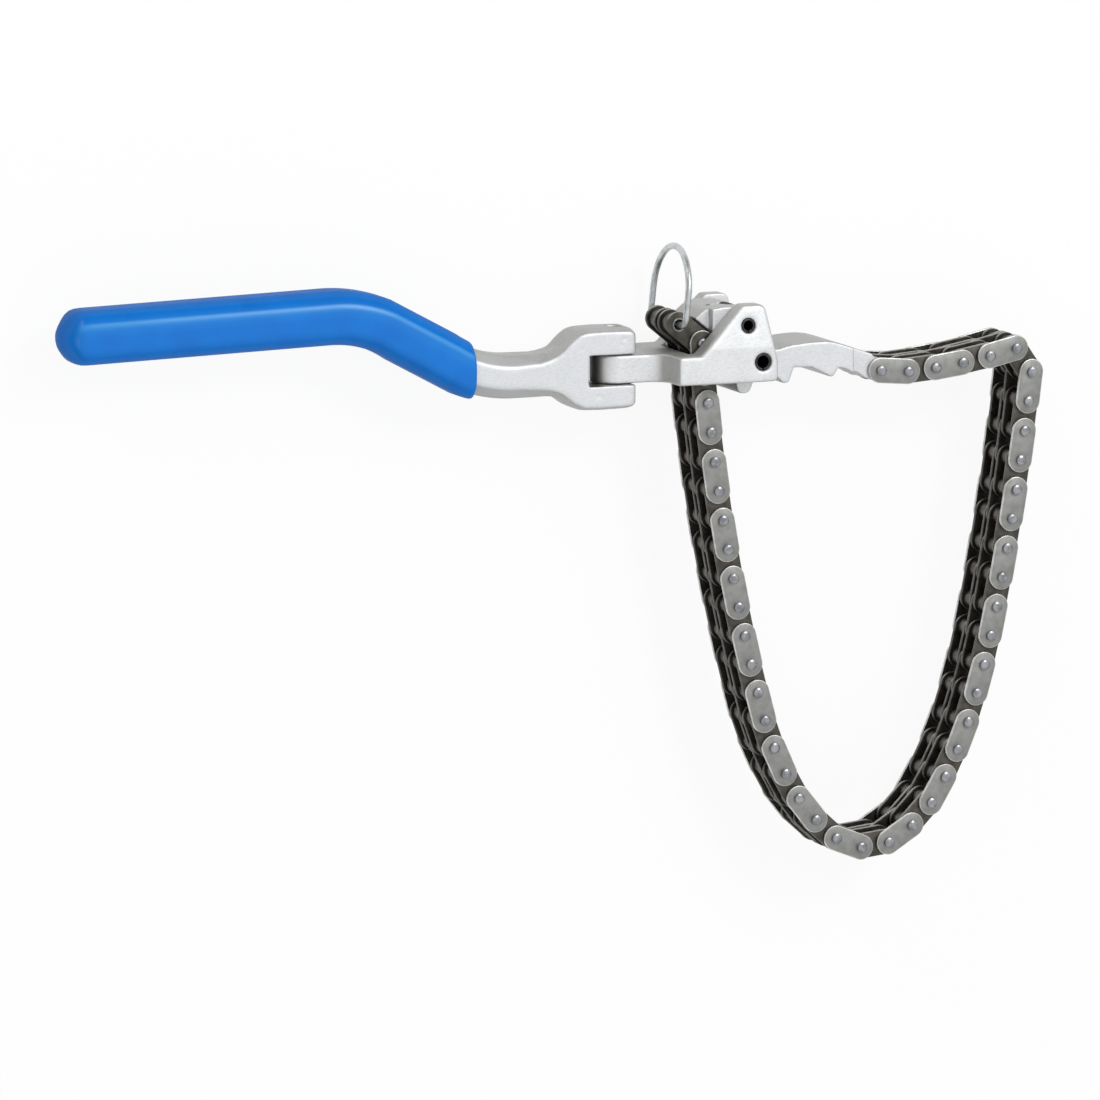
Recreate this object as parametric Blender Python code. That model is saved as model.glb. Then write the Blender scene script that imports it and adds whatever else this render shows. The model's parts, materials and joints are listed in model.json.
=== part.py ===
# Chain oil filter wrench lying on its side: a cranked handle with a dipped grip, a head that
# swivels in the handle's fork, a toothed jaw and a sprung pawl on two roll pins in the head,
# a double roller chain from the jaw round the filter and back through the head, and a pull ring.
# Sizes are millimetres in the design frame: x along the tool, the swivel axis at x = 0, the
# middle of the tongue at y = 0 and the middle plane of the chain at z = 0. The last step
# stands the tool on the floor, centred on its own box.

import math

import bmesh
import bpy
from mathutils import Matrix, Vector

MM = 0.001
GAP = 0.3
SMALL_RADIUS = 1.5

# Double roller chain of 9.525 mm pitch
PITCH = 9.525
LINK_COUNT = 44
STRAND_OFFSET = 5.12
ROLLER_WIDTH = 5.72
ROLLER_RADIUS = 3.175
PIN_RADIUS = 1.64
PIN_LENGTH = 23.8
PLATE_RADIUS = 4.13
INNER_PLATE = 1.3
OUTER_PLATE = 1.0
CHAIN_SIDES = 6
CUT_REACH = 40.0
INNER_FACE = STRAND_OFFSET + ROLLER_WIDTH / 2 + INNER_PLATE
INNER_GAP = STRAND_OFFSET - ROLLER_WIDTH / 2 - INNER_PLATE
PIN_BORE = (PIN_RADIUS + GAP) / math.cos(math.pi / CHAIN_SIDES)

# Route of the chain from the jaw: first heading, then joints in a row with the turn at each
CHAIN_START = (87.2, -4.1)
CHAIN_HEADING = -4.8
CHAIN_TURNS = (
    (1, 9.4), (3, 2.7), (1, -68.2), (1, -41.2), (8, -0.6), (3, -2.1), (3, -4.3), (2, -13.7),
    (1, -26.0), (1, -28.0), (1, -20.0), (2, -9.3), (3, -4.7), (11, -0.85), (1, 0.3), (1, 44.5),
)

# Handle: a chamfered bar, cranked between the grip and the fork
BAR_HALF_HEIGHT = 6.9
BAR_HALF_DEPTH = 7.5
BAR_CHAMFER = 3.6
BAR_END = -179.0
GRIP_SLOPE = 0.031
CRANK_TOP = (-86.0, 20.6)
CRANK_FOOT = (-45.0, -0.4)
CRANK_RADIUS = 40.0
BEND_STEPS = 3
FORK_HALF_HEIGHT = 12.85
FORK_HALF_DEPTH = 8.0
FORK_START = -11.0
FORK_TIP = 4.6
SLOT_HALF_HEIGHT = 4.8

# Grip: vinyl dipped over the bar
GRIP_WALL = 1.6
GRIP_TIP = -182.8
GRIP_MOUTH = -49.0

# Head: a tongue that flares into a block with two cheeks
TONGUE_RADIUS = 7.4
TONGUE_HALF_HEIGHT = 4.5
HEAD_HALF_DEPTH = 20.0
CHEEK_EDGE = 1.2
SLOT_HALF_DEPTH = 12.5
SLOT_BACK = 21.3

# Roll pins and what turns on them
SWIVEL_PIN_RADIUS = 2.5
PAWL_AXIS = (38.2, 13.5)
PAWL_PIN_RADIUS = 2.25
JAW_AXIS = (43.0, 1.9)
JAW_PIN_RADIUS = 2.65
ROLL_PIN_WALL = 0.8
ROLL_PIN_SLIT = 24.0
CHEEK_PIN_LENGTH = 38.8
SWIVEL_PIN_LENGTH = 24.8
ROUND_SIDES = 10
HUB_HALF_DEPTH = 12.1
NOSE_HALF_DEPTH = 9.2

# Jaw and pawl hubs, and the torsion spring between the pawl's knuckles
JAW_HUB = 5.5
JAW_STEP = 77.3
JAW_END_RADIUS = 3.7
PAWL_HUB = 5.1
PAWL_STEP = 28.8
SPRING_WIRE = 1.1
SPRING_RADIUS = 4.3
SPRING_TURNS = 3.25
SPRING_PITCH = 1.62
SPRING_POINTS = 8
SPRING_ROOM = 4.0
SPRING_LEG_END = 30.6
SPRING_FOOT = 9.2

# Pull ring of round wire, hooked into both ends of the last bush
RING_WIRE = 1.05
RING_HALF_WIDTH = 14.5
RING_LEG = 9.5
RING_HOOK = 2.6
RING_INSET = 6.2


for leftover in list(bpy.data.objects):
    bpy.data.objects.remove(leftover, do_unlink=True)

parts = bpy.data.collections.new("chain_filter_wrench")
bpy.context.scene.collection.children.link(parts)


def material(name, colour, roughness, metallic):
    made = bpy.data.materials.new(name)
    made.use_nodes = True
    shader = made.node_tree.nodes["Principled BSDF"]
    shader.inputs["Base Color"].default_value = (*colour, 1.0)
    shader.inputs["Roughness"].default_value = roughness
    shader.inputs["Metallic"].default_value = metallic
    return made


FORGED_STEEL = material("forged_steel", (0.66, 0.67, 0.67), 0.42, 1.0)
BLUE_VINYL = material("blue_vinyl", (0.012, 0.17, 0.66), 0.32, 0.0)
BLACK_STEEL = material("black_steel", (0.012, 0.012, 0.014), 0.4, 1.0)
PLATE_STEEL = material("plate_steel", (0.27, 0.26, 0.245), 0.45, 1.0)
SPRING_STEEL = material("spring_steel", (0.45, 0.46, 0.48), 0.3, 1.0)
ZINC_WIRE = material("zinc_wire", (0.62, 0.64, 0.66), 0.3, 1.0)


# Outlines

def arc(centre, radius, start, end, steps):
    turn = [math.radians(start + (end - start) * step / steps) for step in range(steps + 1)]
    return [(centre[0] + radius * math.cos(a), centre[1] + radius * math.sin(a)) for a in turn]


def rounded(corners):
    # Corners are (x, y) or (x, y, radius); a radius swaps the corner for an arc.
    outline = []
    for index, corner in enumerate(corners):
        here = Vector(corner[:2])
        if len(corner) == 2:
            outline.append(tuple(here))
            continue
        back = (Vector(corners[index - 1][:2]) - here).normalized()
        ahead = (Vector(corners[(index + 1) % len(corners)][:2]) - here).normalized()
        half = back.angle(ahead) / 2
        centre = here + (back + ahead).normalized() * corner[2] / math.sin(half)
        first = here + back * corner[2] / math.tan(half) - centre
        sweep = first.angle_signed(here + ahead * corner[2] / math.tan(half) - centre)
        steps = 1 + (corner[2] > SMALL_RADIUS) + (abs(sweep) > math.pi / 3)
        for step in range(steps + 1):
            outline.append(tuple(centre + Matrix.Rotation(-sweep * step / steps, 2) @ first))
    return outline


# Solids

def add(name, mesh):
    made = bpy.data.objects.new(name, mesh)
    parts.objects.link(made)
    return made


def baked(source):
    # The object as it is evaluated, as a plain welded mesh in the place where it stands.
    bpy.context.view_layer.update()
    name = source.name
    mesh = bpy.data.meshes.new_from_object(source.evaluated_get(bpy.context.evaluated_depsgraph_get()))
    mesh.transform(source.matrix_world)
    work = bmesh.new()
    work.from_mesh(mesh)
    bmesh.ops.remove_doubles(work, verts=work.verts, dist=1e-6)
    work.to_mesh(mesh)
    work.free()
    bpy.data.objects.remove(source)
    mesh.name = name
    made = add(name, mesh)
    made.name = name
    return made


def flat(name, outline, low, high, edge=0.0):
    # A flat outline in x and y, extruded from low to high in z, with its rims cut by edge.
    curve = bpy.data.curves.new(name, "CURVE")
    curve.dimensions = "2D"
    curve.fill_mode = "BOTH"
    curve.extrude = ((high - low) / 2 - edge) * MM
    curve.bevel_depth = edge * MM
    curve.bevel_resolution = 0
    curve.offset = -edge * MM
    spline = curve.splines.new("POLY")
    spline.points.add(len(outline) - 1)
    spline.use_cyclic_u = True
    for point, (x, y) in zip(spline.points, outline):
        point.co = (x * MM, y * MM, 0.0, 1.0)
    made = add(name, curve)
    made.location.z = (low + high) / 2 * MM
    return baked(made)


def stood(name, outline, low, high):
    # A flat outline in x and z, extruded from low to high in y.
    made = flat(name, [(x, -z) for x, z in outline], -high, -low)
    made.matrix_world = Matrix.Rotation(math.pi / 2, 4, "X")
    return baked(made)


def rod(name, at, radius, low, high, sides):
    work = bmesh.new()
    bmesh.ops.create_cone(
        work, cap_ends=True, segments=sides, radius1=radius * MM, radius2=radius * MM, depth=(high - low) * MM
    )
    mesh = bpy.data.meshes.new(name)
    work.to_mesh(mesh)
    work.free()
    mesh.transform(Matrix.Translation((at[0] * MM, at[1] * MM, (low + high) / 2 * MM)))
    return add(name, mesh)


def box(name, low, high):
    work = bmesh.new()
    bmesh.ops.create_cube(work, size=1.0)
    size = Matrix.Diagonal([(b - a) * MM for a, b in zip(low, high)]).to_4x4()
    middle = Matrix.Translation([(a + b) / 2 * MM for a, b in zip(low, high)])
    bmesh.ops.transform(work, matrix=middle @ size, verts=work.verts)
    mesh = bpy.data.meshes.new(name)
    work.to_mesh(mesh)
    work.free()
    return add(name, mesh)


def loft(name, sections):
    work = bmesh.new()
    rings = [[work.verts.new(Vector(point) * MM) for point in section] for section in sections]
    for ring, following in zip(rings, rings[1:]):
        for index in range(len(ring)):
            onward = (index + 1) % len(ring)
            work.faces.new((ring[index], ring[onward], following[onward], following[index]))
    work.faces.new(rings[0])
    work.faces.new(rings[-1])
    bmesh.ops.recalc_face_normals(work, faces=work.faces)
    mesh = bpy.data.meshes.new(name)
    work.to_mesh(mesh)
    work.free()
    return add(name, mesh)


def wire(name, points, radius, resolution):
    curve = bpy.data.curves.new(name, "CURVE")
    curve.dimensions = "3D"
    curve.bevel_depth = radius * MM
    curve.bevel_resolution = resolution
    curve.use_fill_caps = True
    spline = curve.splines.new("POLY")
    spline.points.add(len(points) - 1)
    for point, place in zip(spline.points, points):
        point.co = (*(Vector(place) * MM), 1.0)
    return baked(add(name, curve))


def combined(base, tools, operation):
    for tool in tools:
        step = base.modifiers.new(operation, "BOOLEAN")
        step.operation = operation
        step.object = tool
    made = baked(base)
    for tool in tools:
        bpy.data.objects.remove(tool)
    return made


def bore(at, radius):
    # A cutter whose flats clear a round pin of the given radius by the gap.
    corner = (radius + GAP) / math.cos(math.pi / ROUND_SIDES)
    return rod("bore", at, corner, -CUT_REACH, CUT_REACH, ROUND_SIDES)


def finish(made, name, look, origin=(0.0, 0.0, 0.0)):
    # Names the piece, gives it its material and puts its origin on the axis it turns about.
    made.name = name
    made.data.name = name
    made.data.materials.clear()
    made.data.materials.append(look)
    made.data.transform(Matrix.Translation(-Vector(origin) * MM))
    made.location = Vector(origin) * MM
    made.data.shade_smooth()
    made.data.set_sharp_from_angle(angle=math.radians(32))
    return made


# Chain

def plate(low, high):
    # A link plate from the joint at the origin to the one a pitch away.
    ends = arc((PITCH, 0), PLATE_RADIUS, -90, 90, 3) + arc((0, 0), PLATE_RADIUS, 90, 270, 3)
    return flat("plate", ends, low, high)


def both_sides(make, low, high):
    return [make(low, high), make(-high, -low)]


def link_pin():
    return rod("pin", (0, 0), PIN_RADIUS, -PIN_LENGTH / 2, PIN_LENGTH / 2, CHAIN_SIDES)


def pin_bore(at):
    # A cutter that clears the six-sided pin of the next link as it turns.
    return rod("bore", at, PIN_BORE, -CUT_REACH, CUT_REACH, CHAIN_SIDES)


def inner_link():
    # Two plates and two rollers in each strand. The pin of the first joint holds the strands
    # together, and the bushes of the second joint are bored for the next link's pin.
    first, *others = both_sides(plate, INNER_GAP, INNER_GAP + INNER_PLATE)
    others += both_sides(plate, INNER_FACE - INNER_PLATE, INNER_FACE)
    reach = (INNER_GAP + INNER_PLATE / 2, INNER_FACE - INNER_PLATE / 2)
    for x in (0, PITCH):
        others.append(rod("roller", (x, 0), ROLLER_RADIUS, *reach, CHAIN_SIDES))
        others.append(rod("roller", (x, 0), ROLLER_RADIUS, -reach[1], -reach[0], CHAIN_SIDES))
    others.append(link_pin())
    link = combined(first, others, "UNION")
    return combined(link, [pin_bore((PITCH, 0))], "DIFFERENCE")


def outer_link():
    # An outer plate on each side and a middle plate between the strands, on the first joint's pin.
    first, other = both_sides(plate, INNER_FACE + GAP, INNER_FACE + GAP + OUTER_PLATE)
    middle = plate(GAP - INNER_GAP, INNER_GAP - GAP)
    link = combined(first, [link_pin(), other, middle], "UNION")
    return combined(link, [pin_bore((PITCH, 0))], "DIFFERENCE")


def chain_route():
    # Joints of the chain and the heading of each link.
    headings = [CHAIN_HEADING]
    for count, turn in CHAIN_TURNS:
        for _ in range(count):
            headings.append(headings[-1] + turn)
    joints = [Vector(CHAIN_START)]
    for heading in headings:
        angle = math.radians(heading)
        joints.append(joints[-1] + PITCH * Vector((math.cos(angle), math.sin(angle))))
    return joints, headings


def chain():
    joints, headings = chain_route()
    kinds = [finish(outer_link(), "outer_link", PLATE_STEEL), finish(inner_link(), "inner_link", PLATE_STEEL)]
    for index in range(LINK_COUNT):
        link = add(f"chain_link_{index + 1:02d}", kinds[index % 2].data)
        link.location = (*(joints[index] * MM), 0.0)
        link.rotation_euler.z = math.radians(headings[index])
    for kind in kinds:
        bpy.data.objects.remove(kind)
    return joints[-1]


# Handle and grip

def bar_stations():
    # Middle line of the cranked bar as (x, y, slope), from the grip's end to the fork.
    slope_down = (CRANK_FOOT[1] - CRANK_TOP[1]) / (CRANK_FOOT[0] - CRANK_TOP[0])
    legs = [math.atan(GRIP_SLOPE), math.atan(slope_down), 0.0]
    stations = []
    for corner, before, after in ((CRANK_TOP, legs[0], legs[1]), (CRANK_FOOT, legs[1], legs[2])):
        side = math.copysign(1.0, after - before)
        reach = CRANK_RADIUS * math.tan(abs(after - before) / 2)
        start = Vector(corner) - reach * Vector((math.cos(before), math.sin(before)))
        centre = start + side * CRANK_RADIUS * Vector((-math.sin(before), math.cos(before)))
        for step in range(BEND_STEPS + 1):
            angle = before + (after - before) * step / BEND_STEPS
            x, y = centre - side * CRANK_RADIUS * Vector((-math.sin(angle), math.cos(angle)))
            stations.append((x, y, angle))
    return stations


def bar_middle(x):
    # Height and slope of the bar's middle line at x.
    stations = bar_stations()
    if x <= stations[0][0]:
        return stations[0][1] + (x - stations[0][0]) * math.tan(stations[0][2]), stations[0][2]
    for before, after in zip(stations, stations[1:]):
        if x <= after[0]:
            part = (x - before[0]) / (after[0] - before[0])
            return before[1] + part * (after[1] - before[1]), before[2] + part * (after[2] - before[2])
    return stations[-1][1], stations[-1][2]


def eight_sided(x, y, half_height, half_depth, drop, inset):
    # An upright section: a rectangle whose corners are cut by drop in y and inset in z.
    flat_y, flat_z = half_height - drop, half_depth - inset
    corners = [(flat_y, half_depth), (half_height, flat_z), (half_height, -flat_z), (flat_y, -half_depth)]
    corners += [(-a, -b) for a, b in corners]
    return [(x, y + a, b) for a, b in corners]


def bar_section(x, grow=0.0, taper=1.0):
    y, slope = bar_middle(x)
    half_height = (BAR_HALF_HEIGHT + grow) * taper / math.cos(slope)
    half_depth = (BAR_HALF_DEPTH + grow) * taper
    chamfer = BAR_CHAMFER * taper
    return eight_sided(x, y, half_height, half_depth, chamfer / math.cos(slope), chamfer)


def handle():
    bends = [x for x, _, _ in bar_stations()]
    sections = [bar_section(x) for x in (BAR_END, *bends)]
    middle = CRANK_FOOT[1]
    flare = (
        (-25.0, 6.8, 7.5, 3.6, 3.6), (-20.4, 7.8, 7.6, 3.2, 4.0), (-16.5, 11.0, 7.9, 2.4, 4.5),
        (-12.5, 12.7, FORK_HALF_DEPTH, 1.8, 4.8), (1.8, FORK_HALF_HEIGHT, FORK_HALF_DEPTH, 1.8, 4.8),
        (3.8, 12.0, 7.7, 1.8, 4.6), (FORK_TIP, 10.2, 7.0, 1.8, 4.2),
    )
    for x, half_height, half_depth, drop, inset in flare:
        rise = middle * min(1.0, max(0.0, x / -25.0))
        sections.append(eight_sided(x, rise, half_height, half_depth, drop, inset))
    bar = loft("handle", sections)
    slot_low = (FORK_START, -SLOT_HALF_HEIGHT, -CUT_REACH)
    slot = box("slot", slot_low, (2 * FORK_TIP, SLOT_HALF_HEIGHT, CUT_REACH))
    return combined(bar, [slot, upright(bore((0, 0), SWIVEL_PIN_RADIUS))], "DIFFERENCE")


def upright(made):
    # Turns a piece made along z to stand along y.
    made.matrix_world = Matrix.Rotation(-math.pi / 2, 4, "X")
    return baked(made)


def grip():
    bends = [x for x, _, _ in bar_stations() if x < GRIP_MOUTH]
    cap = ((GRIP_TIP, 0.5), (GRIP_TIP + 1.4, 0.78), (GRIP_TIP + 4.2, 0.95), (GRIP_TIP + 8.5, 1.0))
    skin = [bar_section(x, GRIP_WALL, taper) for x, taper in cap]
    skin += [bar_section(x, GRIP_WALL) for x in (*bends, GRIP_MOUTH)]
    inside = [bar_section(x, GAP) for x in (BAR_END - GAP, *bends, GRIP_MOUTH + 2.0)]
    return combined(loft("grip", skin), [loft("hollow", inside)], "DIFFERENCE")


# Head and its pins

def head():
    side = rounded((
        (-TONGUE_RADIUS - 2, -TONGUE_HALF_HEIGHT), (48.2, -TONGUE_HALF_HEIGHT, 1.6), (48.2, 1.6, 8.0),
        (43.9, 19.5, 3.0), (36.8, 19.5, 2.0), (22.4, 4.6, 2.0), (-TONGUE_RADIUS - 2, TONGUE_HALF_HEIGHT),
    ))
    half = [(10.4, TONGUE_RADIUS), *arc((10.4, TONGUE_RADIUS + 2.8), 2.8, -90, -8, 3)]
    half += [(14.4, HEAD_HALF_DEPTH - 1.4), (15.4, HEAD_HALF_DEPTH), (60.0, HEAD_HALF_DEPTH)]
    plan = arc((0, 0), TONGUE_RADIUS, 270, 90, 8) + half + [(x, -z) for x, z in reversed(half)]
    body = flat("head", side, -HEAD_HALF_DEPTH, HEAD_HALF_DEPTH, CHEEK_EDGE)
    body = combined(body, [stood("plan", plan, -TONGUE_HALF_HEIGHT - 1, 30.0)], "INTERSECT")
    slot_low = (SLOT_BACK, -CUT_REACH, -SLOT_HALF_DEPTH)
    slot = box("slot", slot_low, (SLOT_BACK + CUT_REACH, CUT_REACH, SLOT_HALF_DEPTH))
    bores = [bore(PAWL_AXIS, PAWL_PIN_RADIUS), bore(JAW_AXIS, JAW_PIN_RADIUS)]
    return combined(body, [slot, upright(bore((0, 0), SWIVEL_PIN_RADIUS)), *bores], "DIFFERENCE")


def roll_pin(name, at, radius, length):
    # A pin rolled from sheet, open along a narrow slit.
    ends = (-90 + ROLL_PIN_SLIT / 2, 270 - ROLL_PIN_SLIT / 2)
    outside = arc(at, radius, *ends, ROUND_SIDES)
    inside = arc(at, radius - ROLL_PIN_WALL, *reversed(ends), ROUND_SIDES)
    return flat(name, outside + inside, -length / 2, length / 2)


# Jaw, pawl and spring

def shoulders(low, high):
    # A cutter on each side that narrows a piece to the depth of its nose, over a box in x and y.
    def cutter(near, far):
        return box("shoulder", (*low, near), (*high, far))
    return both_sides(cutter, NOSE_HALF_DEPTH, CUT_REACH)


def jaw():
    top = [(49.5, 4.1, 6.0), (55.0, 5.7, 14.0), (67.0, 6.3, 24.0), (84.5, 0.9)]
    teeth = [
        (82.6, -6.6, 2.0), (79.2, -4.3), (76.9, -4.3, 0.8), (74.6, -2.9, 2.0), (71.9, -2.3, 0.4),
        (70.4, -5.0, 0.7), (69.0, -5.0, 0.6), (62.6, -1.7, 2.0), (56.7, -1.5, 0.5), (55.0, -6.2, 0.9),
        (53.0, -6.4, 0.9), (50.5, -4.0, 2.0), (44.0, -3.8, 1.0), (41.2, -8.7, 1.4), (37.8, -8.7, 1.4),
        (36.8, -3.6, 1.0),
    ]
    end = arc(CHAIN_START, JAW_END_RADIUS, 108, -100, 6)
    hub = arc(JAW_AXIS, JAW_HUB, 200, 70, 5)
    outline = rounded([*hub, *top, *end, *teeth])
    body = flat("jaw", outline, -HUB_HALF_DEPTH, HUB_HALF_DEPTH)
    cheeks = shoulders((JAW_STEP, -CUT_REACH), (JAW_STEP + CUT_REACH, CUT_REACH))
    slit_start = CHAIN_START[0] - PLATE_RADIUS - 2 * GAP
    slit_low = (slit_start, -CUT_REACH, -INNER_GAP - GAP)
    slit = box("slit", slit_low, (slit_start + CUT_REACH, CUT_REACH, INNER_GAP + GAP))
    bores = [bore(JAW_AXIS, JAW_PIN_RADIUS), pin_bore(CHAIN_START)]
    return combined(body, [*cheeks, slit, *bores], "DIFFERENCE")


def pawl():
    hub = arc(PAWL_AXIS, PAWL_HUB, -80, 95, 6)
    lever = [(33.0, 18.9, 12.0), (27.6, 18.2, 5.0), (24.1, 15.2, 0.4), (29.0, 11.2), (31.0, 8.9, 1.0)]
    body = flat("pawl", rounded([*hub, *lever]), -HUB_HALF_DEPTH, HUB_HALF_DEPTH)
    cheeks = shoulders((PAWL_STEP - CUT_REACH, -CUT_REACH), (PAWL_STEP, CUT_REACH))
    room = rod("room", PAWL_AXIS, PAWL_HUB + 2 * GAP, -SPRING_ROOM, SPRING_ROOM, ROUND_SIDES)
    leg_z = spring_end()
    leg_low = PAWL_AXIS[1] + SPRING_RADIUS - SPRING_WIRE / 2 - GAP
    groove_low = (SPRING_LEG_END - 2 * GAP, leg_low, leg_z - SPRING_WIRE)
    groove = box("groove", groove_low, (PAWL_AXIS[0], CUT_REACH, leg_z + SPRING_WIRE))
    return combined(body, [*cheeks, room, groove, bore(PAWL_AXIS, PAWL_PIN_RADIUS)], "DIFFERENCE")


def spring_end():
    # Where the spring's last turn leaves the coil, in z.
    return SPRING_TURNS * SPRING_PITCH / 2


def least_gap(points):
    # Least distance between stretches of the wire at least half a turn apart, less its thickness.
    fine = [Vector(a).lerp(Vector(b), part / 4) for a, b in zip(points, points[1:]) for part in range(4)]
    apart = 2 * SPRING_POINTS
    pairs = ((a, b) for index, a in enumerate(fine) for b in fine[index + apart:])
    return min((a - b).length for a, b in pairs) - SPRING_WIRE


def spring():
    # A coil round the pawl's pin, with a foot over the jaw's hub and a leg along the pawl's top.
    count = round(SPRING_TURNS * SPRING_POINTS)
    half = spring_end()
    points = [(PAWL_AXIS[0] + SPRING_RADIUS, SPRING_FOOT, -half)]
    for step in range(count + 1):
        angle = 2 * math.pi * SPRING_TURNS * step / count
        x = PAWL_AXIS[0] + SPRING_RADIUS * math.cos(angle)
        y = PAWL_AXIS[1] + SPRING_RADIUS * math.sin(angle)
        points.append((x, y, 2 * half * step / count - half))
    points.append((SPRING_LEG_END, PAWL_AXIS[1] + SPRING_RADIUS, half))
    print("pawl spring, least gap to itself in mm:", round(least_gap(points), 2))
    return wire("pawl_spring", points, SPRING_WIRE / 2, 1)


def ring(at):
    half = [(RING_INSET, 0.0), *arc((RING_HALF_WIDTH - RING_HOOK, RING_HOOK), RING_HOOK, -90, 0, 3)]
    half += arc((0, RING_LEG), RING_HALF_WIDTH, 0, 90, 6)
    loop = half + [(-z, y) for z, y in reversed(half[:-1])]
    return wire("ring", [(at[0], at[1] + y, z) for z, y in loop], RING_WIRE, 1)


def stand_on_floor():
    # Hangs every piece on one empty and moves that to centre the tool's box over the floor.
    bpy.context.view_layer.update()
    corners = [made.matrix_world @ Vector(corner) for made in parts.objects for corner in made.bound_box]
    low = [min(corner[axis] for corner in corners) for axis in range(3)]
    high = [max(corner[axis] for corner in corners) for axis in range(3)]
    root = bpy.data.objects.new("wrench", None)
    for made in parts.objects:
        made.parent = root
    parts.objects.link(root)
    root.location = (-(low[0] + high[0]) / 2, -(low[1] + high[1]) / 2, -low[2])
    print("design origin in the frame, mm:", [round(value / MM, 4) for value in root.location])


last_joint = chain()
finish(handle(), "handle", FORGED_STEEL)
finish(grip(), "grip", BLUE_VINYL)
swivel_pin = upright(roll_pin("swivel_pin", (0, 0), SWIVEL_PIN_RADIUS, SWIVEL_PIN_LENGTH))
finish(swivel_pin, "swivel_pin", BLACK_STEEL)
finish(head(), "head", FORGED_STEEL)
finish(roll_pin("pawl_pin", PAWL_AXIS, PAWL_PIN_RADIUS, CHEEK_PIN_LENGTH), "pawl_pin", BLACK_STEEL)
finish(roll_pin("jaw_pin", JAW_AXIS, JAW_PIN_RADIUS, CHEEK_PIN_LENGTH), "jaw_pin", BLACK_STEEL)
finish(jaw(), "jaw", FORGED_STEEL, (*JAW_AXIS, 0.0))
finish(pawl(), "pawl", FORGED_STEEL, (*PAWL_AXIS, 0.0))
finish(spring(), "pawl_spring", SPRING_STEEL, (*PAWL_AXIS, 0.0))
finish(ring(last_joint), "ring", ZINC_WIRE, (*last_joint, 0.0))
stand_on_floor()
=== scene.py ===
import json
import math

import bmesh
import bpy
from mathutils import Matrix, Vector


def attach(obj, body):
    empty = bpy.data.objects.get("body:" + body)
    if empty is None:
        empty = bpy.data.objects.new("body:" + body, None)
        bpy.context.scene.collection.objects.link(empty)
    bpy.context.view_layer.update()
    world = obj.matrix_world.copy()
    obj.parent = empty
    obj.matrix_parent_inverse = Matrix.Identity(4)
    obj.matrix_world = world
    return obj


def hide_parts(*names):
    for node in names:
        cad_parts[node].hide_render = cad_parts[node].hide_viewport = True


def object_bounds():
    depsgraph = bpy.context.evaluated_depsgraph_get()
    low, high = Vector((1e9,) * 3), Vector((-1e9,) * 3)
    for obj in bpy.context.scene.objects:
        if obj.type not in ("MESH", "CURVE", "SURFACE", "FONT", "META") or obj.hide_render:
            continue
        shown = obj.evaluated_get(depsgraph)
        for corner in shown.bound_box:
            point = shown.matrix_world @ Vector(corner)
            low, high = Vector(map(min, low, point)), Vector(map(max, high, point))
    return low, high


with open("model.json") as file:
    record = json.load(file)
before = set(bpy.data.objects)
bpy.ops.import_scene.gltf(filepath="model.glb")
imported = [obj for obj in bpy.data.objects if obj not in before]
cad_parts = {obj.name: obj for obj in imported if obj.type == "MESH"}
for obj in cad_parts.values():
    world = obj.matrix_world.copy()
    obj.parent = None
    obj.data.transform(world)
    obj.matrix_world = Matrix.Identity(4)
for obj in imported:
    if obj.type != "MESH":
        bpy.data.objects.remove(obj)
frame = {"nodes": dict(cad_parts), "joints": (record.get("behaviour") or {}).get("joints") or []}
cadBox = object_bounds()
jointAt = {joint["name"]: Vector(joint["pos_m"]) for joint in frame["joints"]}
swivelAt = jointAt["handle_swivel"]
mm = 0.001
toRow = Matrix.Translation(swivelAt) @ Matrix.Scale(mm, 4)  # pieces are drawn in mm from the swivel axis
print("frame loaded,", len(frame["nodes"]), "nodes")


# sockets that can be added and multiplied like numbers

class Sock:
    def __init__(self, wiring, socket):
        self.wiring = wiring
        self.socket = socket

    def joined(self, operation, first, second):
        return self.wiring.node("ShaderNodeMath", {"operation": operation}, {0: first, 1: second})

    def __add__(self, other):
        return self.joined("ADD", self, other)

    def __radd__(self, other):
        return self.joined("ADD", other, self)

    def __sub__(self, other):
        return self.joined("SUBTRACT", self, other)

    def __rsub__(self, other):
        return self.joined("SUBTRACT", other, self)

    def __mul__(self, other):
        return self.joined("MULTIPLY", self, other)

    def __rmul__(self, other):
        return self.joined("MULTIPLY", other, self)


class Wiring:
    def __init__(self, owner):
        owner.use_nodes = True
        self.tree = owner.node_tree

    def node(self, kind, settings=None, inputs=None, output=0):
        made = self.tree.nodes.new(kind)
        for key, value in (settings or {}).items():
            setattr(made, key, value)
        for key, value in (inputs or {}).items():
            self.feed(made.inputs[key], value)
        return Sock(self, made.outputs[output])

    def feed(self, socket, value):
        if isinstance(value, Sock):
            self.tree.links.new(value.socket, socket)
        else:
            socket.default_value = value

    def ramp(self, value, low, high):
        # 0 below low, 1 above high
        return self.node("ShaderNodeMapRange", {"interpolation_type": "SMOOTHSTEP"}, {
            "Value": value, "From Min": low, "From Max": high})

    def mixed(self, amount, first, second):
        return self.node("ShaderNodeMix", {"data_type": "RGBA"}, {0: amount, 6: first, 7: second}, output=2)


facingSpan = (0.3, 0.85)  # of the normal's share along the pins, squared


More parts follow.
